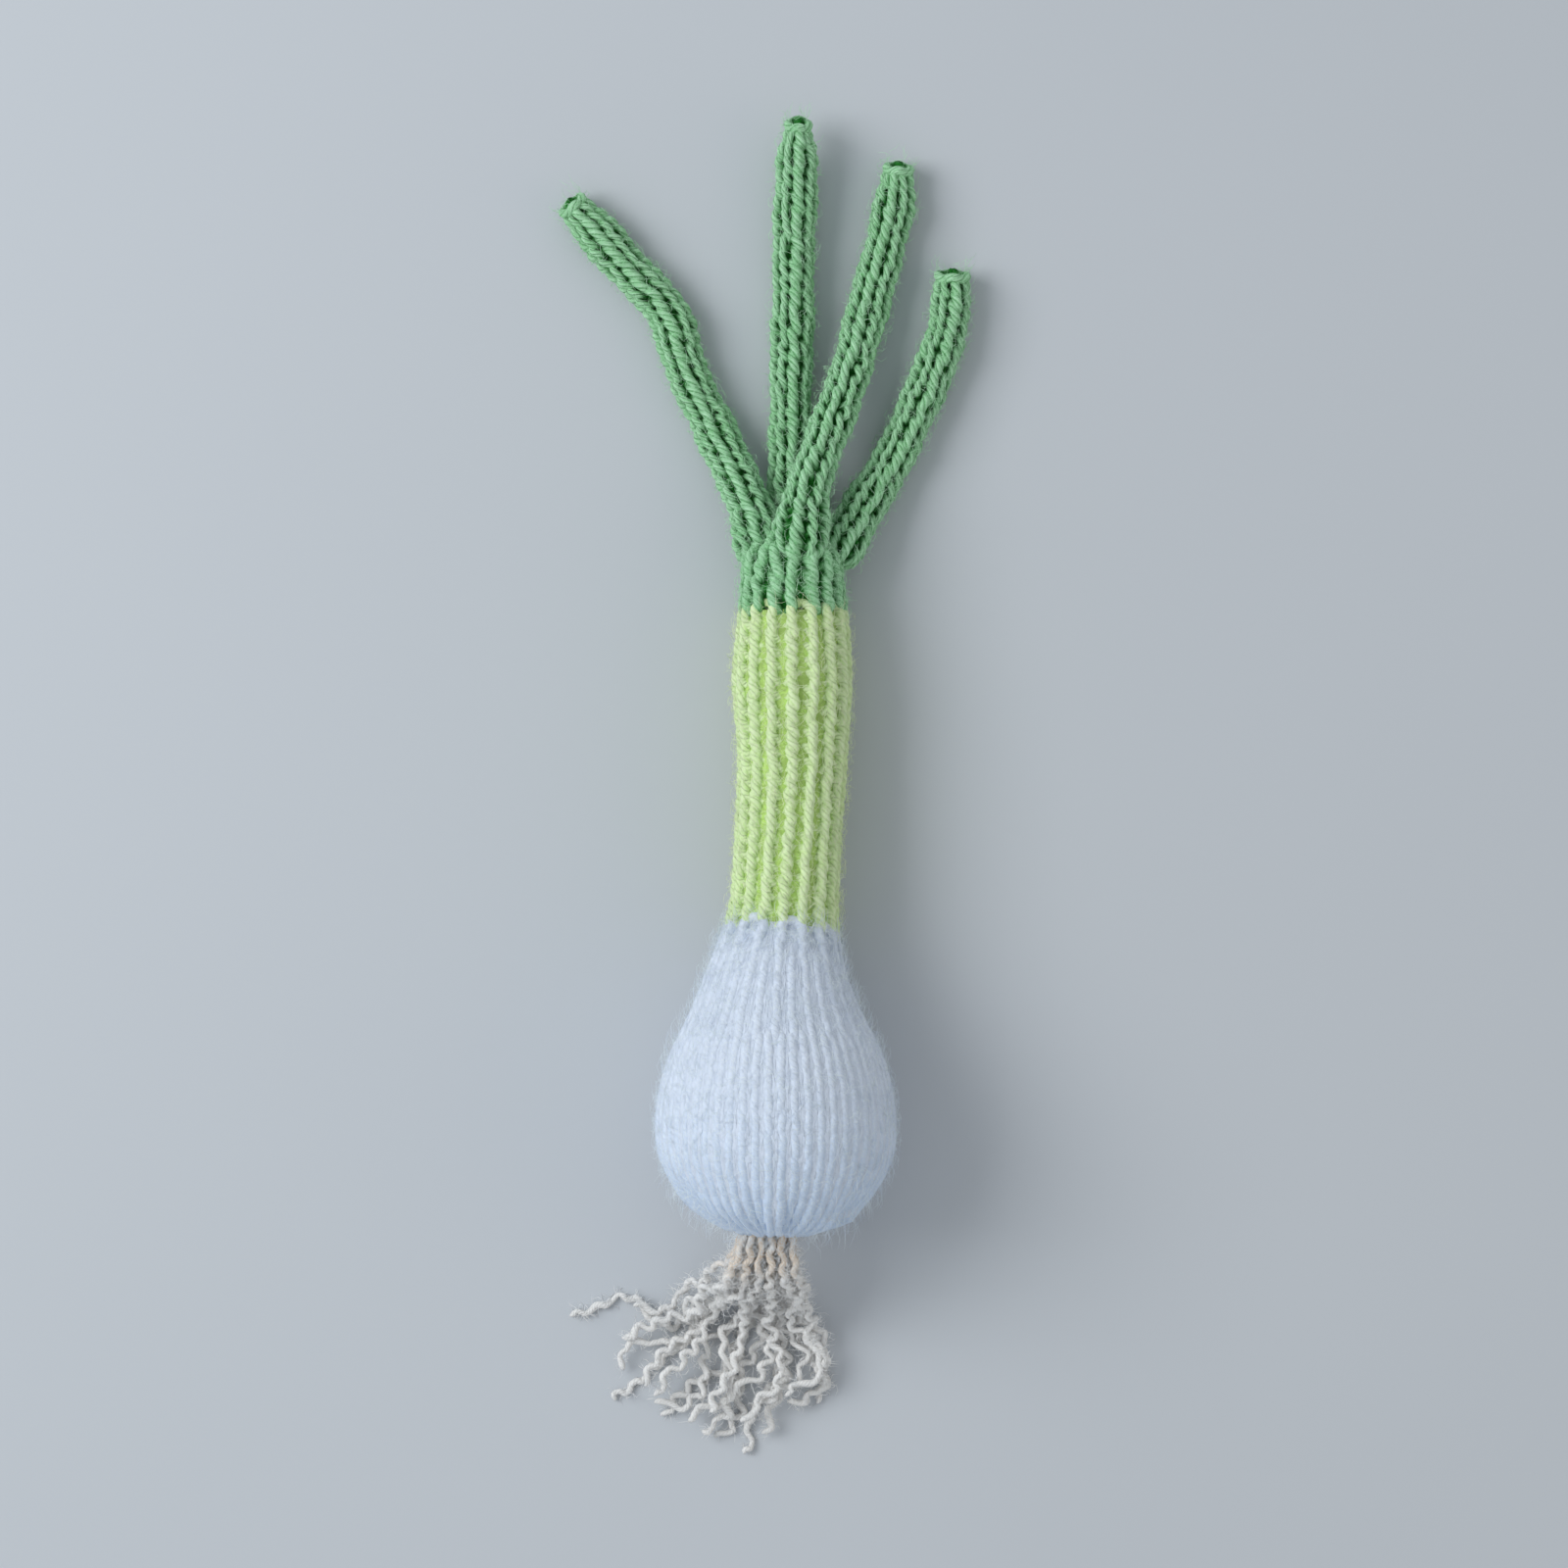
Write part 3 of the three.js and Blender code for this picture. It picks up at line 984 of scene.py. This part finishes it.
def root_path(layer, column, plan, settings, rng):
    """A root's centre line with its crimp, from the base of the bulb to its loose end."""
    x, y = ROOT_BUNCH
    start = (x + (column - 2.5) * ROOT_COLUMN, y)
    flat = smooth_samples([(*point, 0.0) for point in (start, *plan)])
    mean = evenly(flat, ROOT_POINTS)
    run = np.linspace(0, lengths_along(flat)[-1], ROOT_POINTS)
    fall_start = ROOT_LEVEL_RUN + layer * ROOT_LAYER_DELAY
    fallen = ease(run, fall_start, fall_start + ROOT_FALL_RUN)
    mean[:, 2] = ROOT_BUNCH_HEIGHT + (ROOT_REST_HEIGHT - ROOT_BUNCH_HEIGHT) * fallen + layer * ROOT_LAYER
    line = CentreLine(mean)
    distance = np.linspace(0, line.length, int(line.length / 0.0003))
    share = distance / line.length
    waves = line.length / settings.crimp_length
    phase = FULL_TURN * (waves * share + 0.13 * ripple(rng, math.pi * share, 7)) + rng.uniform(0, FULL_TURN)
    loose = ease(distance, 0.006, 0.022)
    height = settings.crimp_height * (0.45 + 0.55 * loose)
    height = height * np.clip(1 + 0.3 * ripple(rng, math.pi * share, 10), 0.3, 1.5)
    slip = -0.15 * height * np.sin(2 * phase)
    centre, across, over = line.at(distance + slip)
    sway = height * (np.sin(phase) + 0.18 * np.sin(3 * phase + rng.uniform(0, FULL_TURN)))
    sway = sway + 0.0017 * loose * ripple(rng, math.pi * share, 6)
    bob = 0.3 * height * np.cos(phase + rng.uniform(0, FULL_TURN))
    path = centre + across * sway[:, None] + over * bob[:, None]
    path[:, 2] = np.maximum(path[:, 2], 0.6 * ROOT_DIAMETER)
    return evenly(path, int(lengths_along(path)[-1] / 0.00036))


def root_radius(count, rng):
    """A root's uneven thickness along its path. It is closed at the bulb and frays thin at its end."""
    radius = np.full(count, ROOT_DIAMETER / 2)
    radius *= 1 + 0.1 * ripple(rng, np.linspace(0, math.pi, count), 20)
    radius = np.clip(radius, 0.4 * ROOT_DIAMETER, 0.6 * ROOT_DIAMETER)
    radius[-3:] *= (0.85, 0.55, 0.0)
    radius[0] = 0.0
    return radius


class SPRINGONION_OT_roots(bpy.types.Operator):
    """Add the crimped yarn roots, each one a loose strand."""

    bl_idname = "spring_onion.roots"
    bl_label = "Roots"

    def execute(self, context):
        scene = context.scene
        settings = scene.spring_onion_roots
        cream = scene.spring_onion_yarn.cream
        # Painted shade in the ply grooves, painted deep shade on each strand's underside, and a painted warm
        # shade in patches near the bunch
        shade = (0.97 * cream[0], 0.96 * cream[1], 0.95 * cream[2])
        deep_shade = (0.94 * cream[0], 0.89 * cream[1], 0.83 * cream[2])
        warm = (0.88 * cream[0], 0.73 * cream[1], 0.58 * cream[2])
        material = yarn_material("Crimped cream yarn", cream, shade, deep_shade, 0.5, (-0.4, 0.6), warm)
        starts = []
        sideways = []
        for layer, plans in enumerate(ROOT_PLANS):
            for column, plan in enumerate(plans):
                rng = np.random.default_rng(100 * layer + column)
                path = root_path(layer, column, plan, settings, rng)
                radius = root_radius(len(path), rng)
                mesh = YarnMesh(0.0007)
                mesh.add_strand(path, np.broadcast_to(UP, path.shape), radius, 8, closed=False)
                data = mesh.build(f"root_strand_{layer + 1}_{column + 1}")
                node = f"root_{layer + 1}_{column + 1}"
                piece = add_piece(data.name, data, [material], "cream_yarn", node)
                spots = (1 + (len(path) - 3) * rng.random(ROOT_FIBRES) ** 1.4).astype(int)
                heading = unit(path[spots + 1] - path[spots])
                outward = unit(np.cross(heading, rng.normal(size=heading.shape)))
                starts.append(path[spots] + 0.4 * ROOT_DIAMETER * outward)
                sideways.append(outward)
        rng = np.random.default_rng(77)
        thickness = 1.6 * FIBRE_THICKNESS
        starts = np.vstack(starts)
        fuzz = fibre_mesh("root_fibres", starts, np.vstack(sideways), rng, 0.0020, 0.0007, thickness)
        add_piece("root_fibres", fuzz, [fibre_material("Cream fibres", tuple(cream))], "cream_yarn")
        return {"FINISHED"}


BODY = CentreLine(BODY_LINE)


def body_radius(distance, turn):
    """The stuffed tube's radius, with its lumps, the folds of its gathered base and its drawn-in ends."""
    lumps = np.sin(distance / 0.0061 + 2.0 * np.sin(turn)) * np.cos(2 * turn + distance / 0.013)
    folds = np.cos(9 * turn + 1.3 * np.sin(3 * turn)) + 0.6 * np.cos(14 * turn + 2 * np.sin(2 * turn))
    gathered = 1 - ease(distance, *FOLD_RUN)
    along = (distance - PUCKER_PLACE) / PUCKER_LENGTH
    around = np.sin(turn - PUCKER_TURN) / PUCKER_WIDTH
    pucker = np.exp(-(along**2) - around**2) * (np.cos(turn - PUCKER_TURN) > 0)
    drawn_in = BASE_DRAW * (1 - ease(distance, *BASE_RUN)) + TOP_DRAW * ease(distance, *TOP_RUN)
    radius = profile_at(BODY_RADII, distance) + LUMP_HEIGHT * lumps
    return radius + FOLD_HEIGHT * gathered * folds + PUCKER_HEIGHT * pucker - drawn_in


def bulb_rows(settings):
    """The bulb's rows as (middle, stitches), from the base up, with fewer stitches as it narrows."""
    rows = []
    row = settings.bulb_row
    middle = BULB_FIRST_ROW
    while middle < LIME_START - 0.001:
        if middle < FIRST_DECREASE:
            stitches = settings.bulb_stitches
        elif middle < SECOND_DECREASE:
            stitches = 2 * settings.stem_stitches
        else:
            stitches = settings.stem_stitches
        rows.append((middle, stitches))
        middle += row if middle < BULB_ROWS_SHORTEN else 0.85 * row
    last = rows[-1][0]
    shift = LIME_START - COLOUR_DROP - 0.8 * settings.stem_row - last
    return [(place + shift * place / last, stitches) for place, stitches in rows]


class SPRINGONION_OT_bulb(bpy.types.Operator):
    """Add the stuffed white bulb, knitted in rows and gathered round the roots."""

    bl_idname = "spring_onion.bulb"
    bl_label = "Bulb"

    def execute(self, context):
        knit = context.scene.spring_onion_knit
        yarn = context.scene.spring_onion_yarn
        rng = np.random.default_rng(11)
        mesh = YarnMesh(yarn.ply_spacing)
        top = LIME_START - COLOUR_DROP
        for middle, stitches in bulb_rows(knit):
            style = {
                "samples": 18,
                "sides": 8,
                "swing": (0.125, 0.115),
                "reach": 0.5 * (knit.bulb_row + 1.5 * yarn.thickness),
                "depth": 0.0004,
                "crown": 3.5,
                "yarn": 0.56 * yarn.thickness,
                "uneven": 0.03,
            }
            if stitches < knit.bulb_stitches:
                style["reach"] *= 0.88
            if stitches == knit.stem_stitches:
                style["samples"] = 24
            if middle < BULB_BASE:
                style["yarn"] *= 0.8
            width = FULL_TURN / stitches
            first = math.pi - width / 2 if stitches > 2 * knit.stem_stitches else math.pi - width / 4
            knit_row(mesh, BODY, body_radius, middle, stitches, first, style, rng)
        add_lining(mesh, BODY, body_radius, 0.0012, top, BULB_FLUFF_DEPTH, 96, dip=0.0012)
        data = mesh.build("bulb")
        white = tuple(yarn.white)
        # The white yarn's painted shade in its ply grooves and painted deep shade in the fabric, and a
        # painted cool shade towards the bulb's base; the fluff's hollows take the painted shade
        shade = tuple(0.97 * c for c in white)
        deep_shade = tuple(0.93 * c for c in white)
        cool_shade = (0.90 * white[0], 0.97 * white[1], min(1.0, 1.05 * white[2]))
        finish = yarn_material("White yarn", white, shade, deep_shade, 0.3, (0.0, 0.6), cool_shade=cool_shade)
        lining = fluff_material("White fluff", white, shade, combed=0.0004)
        piece = add_piece("bulb", data, [finish, lining], "white_yarn", "bulb_cover")
        fibres = fibre_material("White fibres", white)
        surface = (BODY, body_radius, (0.002, top))
        add_fibres("bulb_fibres", surface, BULB_FIBRES, rng, 0.0042, 0.0008, fibres, "white_yarn")
        return {"FINISHED"}


def knit_section(section, yarn, knit):
    """The stem or the collar: its rows of loops, the fluff behind them and its stray fibres."""
    name, word, slot = section["name"], section["word"], section["slot"]
    start, end = section["span"]
    colour = tuple(section["colour"])
    rng = np.random.default_rng(section["seed"])
    mesh = YarnMesh(yarn.ply_spacing)
    stitches = knit.stem_stitches
    first = math.pi - FULL_TURN / stitches / 4
    rows = round((end - start) / knit.stem_row)
    for k in range(rows):
        middle = start + (k + 0.5) * (end - start) / rows
        knit_row(mesh, BODY, body_radius, middle, stitches, first, section["style"], rng)
    add_lining(mesh, BODY, body_radius, start, end - 0.0005, section["fluff_depth"], 48)
    data = mesh.build(name)
    # The yarn's painted shade in its ply grooves and painted deep shade in the fabric; the fluff behind the
    # loops is painted in that deep shade, darker still in its painted hollows
    shade = tuple(np.multiply(colour, section["shade"]))
    deep_shade = tuple(np.multiply(colour, section["deep_shade"]))
    finish = yarn_material(f"{word} yarn", colour, shade, deep_shade, 0.9, section["depth"])
    lining = fluff_material(f"{word} fluff", deep_shade, tuple(0.66 * c for c in deep_shade))
    piece = add_piece(name, data, [finish, lining], slot, f"{name}_cover")
    fibres = fibre_material(f"{word} fibres", colour)
    surface = (BODY, body_radius, (start, end))
    count = int(BODY_FIBRES_PER_METRE * (end - start))
    add_fibres(f"{name}_fibres", surface, count, rng, 0.003, 0.0009, fibres, slot)


class SPRINGONION_OT_stem(bpy.types.Operator):
    """Add the lime stem and the green collar, which are knitted on from the bulb."""

    bl_idname = "spring_onion.stem"
    bl_label = "Stem and collar"

    def execute(self, context):
        knit = context.scene.spring_onion_knit
        yarn = context.scene.spring_onion_yarn
        style = {
            "samples": 24,
            "sides": 10,
            "swing": (0.145, 0.085),
            "reach": 0.5 * (knit.stem_row + 1.1 * yarn.thickness),
            "depth": 0.0008,
            "crown": 3.0,
            "yarn": 0.5 * yarn.thickness,
            "uneven": 0.045,
        }
        stem = {
            "name": "stem",
            "word": "Lime",
            "slot": "lime_yarn",
            "span": (LIME_START - COLOUR_DROP, GREEN_START),
            "style": style,
            "fluff_depth": STEM_FLUFF_DEPTH,
            "colour": yarn.lime,
            "shade": LIME_SHADE,
            "deep_shade": LIME_DEEP_SHADE,
            # The heights over which the painted deep shade gives way to the yarn's colour
            "depth": (0.15, 0.7),
            "seed": 21,
        }
        collar = {
            "name": "collar",
            "word": "Green",
            "slot": "green_yarn",
            "span": (GREEN_START, BODY_END + COLLAR_RISE),
            "style": {**style, "yarn": 0.575 * yarn.thickness, "swing": (0.15, 0.03), "uneven": 0.1},
            "fluff_depth": COLLAR_FLUFF_DEPTH,
            "colour": yarn.green,
            "shade": GREEN_SHADE,
            "deep_shade": GREEN_DEEP_SHADE,
            # The heights over which the painted deep shade gives way to the yarn's colour
            "depth": (0.56, 1.0),
            "seed": 31,
        }
        for section in (stem, collar):
            knit_section(section, yarn, knit)
        return {"FINISHED"}


def leaf_profile(length, flare, tip):
    """A leaf's (distance, radius) rows: flared at the collar, straight, and drawn in to its open end."""
    brim = tip + TIP_STRAND
    return (
        (-0.0015, 0.0036),
        (0.0, LEAF_RADIUS + 0.0006 * flare),
        (0.002, LEAF_RADIUS + 0.0014 * flare),
        (0.006, LEAF_RADIUS + 0.0011 * flare),
        (0.012, LEAF_RADIUS + 0.0004 * flare),
        (0.018, LEAF_RADIUS),
        (0.022, LEAF_RADIUS),
        (length - 0.0115, LEAF_RADIUS),
        (length - 0.0085, LEAF_RADIUS),
        (length - 0.0045, 0.3 * LEAF_RADIUS + 0.7 * brim),
        (length - 0.0024, brim),
        (length + 0.0008, tip + 0.0006),
    )


def knit_leaf(name, line, seed, style, yarn, knit, materials):
    """One leaf: its rows of loops, the ring of its open end, the sheet painted in shade inside and its stray
    fibres.
    """
    rng = np.random.default_rng(seed)
    tip = LEAF_TIPS[name]
    profile = leaf_profile(line.length, 1.0 if name == "leaf_front" else 0.5, tip)
    twist = rng.uniform(0, FULL_TURN)

    def radius_at(distance, turn):
        lumps = np.sin(distance / 0.0023 + twist + np.sin(turn)) * np.cos(turn - distance / 0.006)
        return profile_at(profile, distance) + LEAF_LUMP_HEIGHT * lumps

    mesh = YarnMesh(1.35 * yarn.ply_spacing)
    first = LEAF_TURNS[name] - 0.75 * FULL_TURN / knit.leaf_stitches
    end = line.length - TIP_GAP
    rows = round(end / knit.leaf_row)
    for k in range(rows):
        middle = k * (end - LAST_ROW_GAP) / (rows - 1)
        leaning = {**style, "slant": TIP_SLANT * ease(middle, end - 0.012, end)}
        knit_row(mesh, line, radius_at, middle, knit.leaf_stitches, first, leaning, rng)
    turn = FULL_TURN * np.arange(40) / 40
    brim = end - TIP_SLANT * np.cos(turn) + 0.0002 * np.cos(4 * turn)
    path, outward = line.lay(brim, turn, tip + 0.0002 * np.cos(5 * turn))
    path[:, 2] = np.maximum(path[:, 2], 0.001)
    mesh.add_strand(path, outward, TIP_STRAND, 8, closed=True, lift=TIP_STRAND, depth=0.0004)
    # Inside the hollow leaf, a sheet painted in shade
    add_lining(mesh, line, radius_at, -0.001, line.length - 0.0045, LEAF_SHADE_SHEET_DEPTH, 16)
    data = mesh.build(f"knitted_{name}")
    piece = add_piece(data.name, data, materials[:2], "green_yarn", name)
    surface = (line, radius_at, (0.0, line.length))
    title = f"{data.name}_fibres"
    add_fibres(title, surface, LEAF_FIBRES, rng, 0.0025, 0.0008, materials[2], "green_yarn")


class SPRINGONION_OT_leaves(bpy.types.Operator):
    """Add the four narrow knitted leaves."""

    bl_idname = "spring_onion.leaves"
    bl_label = "Leaves"

    def execute(self, context):
        knit = context.scene.spring_onion_knit
        yarn = context.scene.spring_onion_yarn
        green = tuple(yarn.green)
        # The yarn's painted shade in its ply grooves and painted deep shade in the fabric; the sheet inside
        # each leaf is painted in that deep shade, darker still in its painted hollows
        shade = tuple(np.multiply(green, GREEN_SHADE))
        deep_shade = tuple(np.multiply(green, GREEN_DEEP_SHADE))
        materials = (
            yarn_material("Leaf yarn", green, shade, deep_shade, 1.1, (0.5, 0.95)),
            fluff_material("Leaf shade sheet", deep_shade, tuple(0.6 * c for c in deep_shade)),
            fibre_material("Leaf fibres", green),
        )
        style = {
            "samples": 20,
            "sides": 8,
            "swing": (0.17, 0.02),
            "reach": 0.5 * (knit.leaf_row + yarn.thickness),
            "depth": 0.00115,
            "crown": 2.4,
            "yarn": 0.46 * yarn.thickness,
            "slim": 0.25,
            "uneven": 0.085,
        }
        for seed, (name, points) in enumerate(LEAF_LINES.items(), 50):
            knit_leaf(name, CentreLine(points), seed, style, yarn, knit, materials)
        return {"FINISHED"}


class SPRINGONION_OT_filling(bpy.types.Operator):
    """Give the stuffing inside the bulb and stem its own loose fibre finish."""

    bl_idname = "spring_onion.filling"
    bl_label = "Filling"

    def execute(self, context):
        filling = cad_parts["stuffing"]
        filling.data.materials.clear()
        filling.data.materials.append(fluff_material("Loose filling", (0.84, 0.84, 0.83), (0.6, 0.6, 0.6)))
        return {"FINISHED"}


class SPRINGONION_PT_panel(bpy.types.Panel):
    """The steps that build the toy, and the settings that they read."""

    bl_idname = "SPRINGONION_PT_panel"
    bl_label = "Spring Onion"
    bl_space_type = "VIEW_3D"
    bl_region_type = "UI"
    bl_category = "Spring Onion"

    def draw(self, context):
        layout = self.layout
        for step in STEPS:
            layout.operator(step.bl_idname)
        for name, group in SETTINGS.items():
            box = layout.box()
            for key in group.__annotations__:
                box.prop(getattr(context.scene, name), key)


SETTINGS = {
    "spring_onion_yarn": SpringOnionYarn,
    "spring_onion_knit": SpringOnionKnit,
    "spring_onion_roots": SpringOnionRoots,
    "spring_onion_stage": SpringOnionStage,
}
STEPS = (
    SPRINGONION_OT_stage,
    SPRINGONION_OT_roots,
    SPRINGONION_OT_bulb,
    SPRINGONION_OT_stem,
    SPRINGONION_OT_leaves,
    SPRINGONION_OT_filling,
)


def register():
    for group in (*SETTINGS.values(), *STEPS, SPRINGONION_PT_panel):
        bpy.utils.register_class(group)
    for name, group in SETTINGS.items():
        setattr(bpy.types.Scene, name, PointerProperty(type=group))


def unregister():
    for name in SETTINGS:
        delattr(bpy.types.Scene, name)
    for group in reversed((*SETTINGS.values(), *STEPS, SPRINGONION_PT_panel)):
        bpy.utils.unregister_class(group)


def main():
    register()
    for step in STEPS:
        area, name = step.bl_idname.split(".")
        getattr(getattr(bpy.ops, area), name)()


if __name__ == "__main__":
    main()
